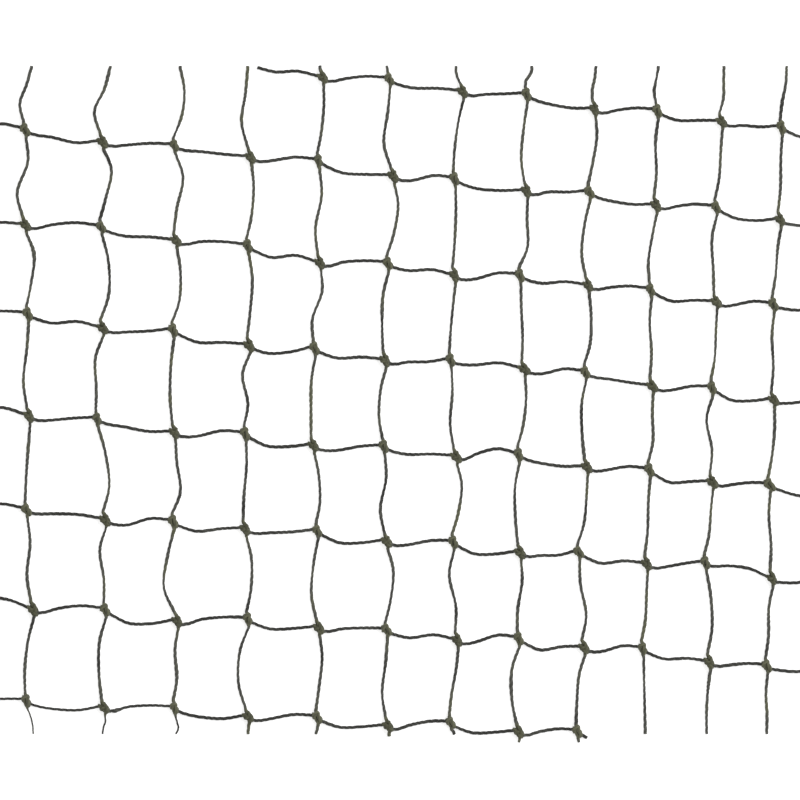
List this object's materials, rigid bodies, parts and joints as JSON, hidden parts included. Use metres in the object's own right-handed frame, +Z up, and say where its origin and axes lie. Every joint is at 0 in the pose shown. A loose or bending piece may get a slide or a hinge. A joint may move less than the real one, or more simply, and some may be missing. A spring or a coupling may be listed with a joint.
{
  "type": "protective net",
  "caption": "Cut length of knotted square-mesh protective netting lying flat, its dark olive twine slightly wavy between raised knots.",
  "frame": {"origin": "on the surface it lies on, below the middle of the piece's outline", "axes": "+X along the cross twines to the right, +Y along the long twines to the top edge, +Z up off the surface"},
  "size_m": [0.308, 0.2536, 0.0035],
  "materials": {
    "twine": "matte twisted synthetic twine, dark olive to charcoal"
  },
  "bodies": {
    "root": {"net": "twine"}
  },
  "joints": []
}
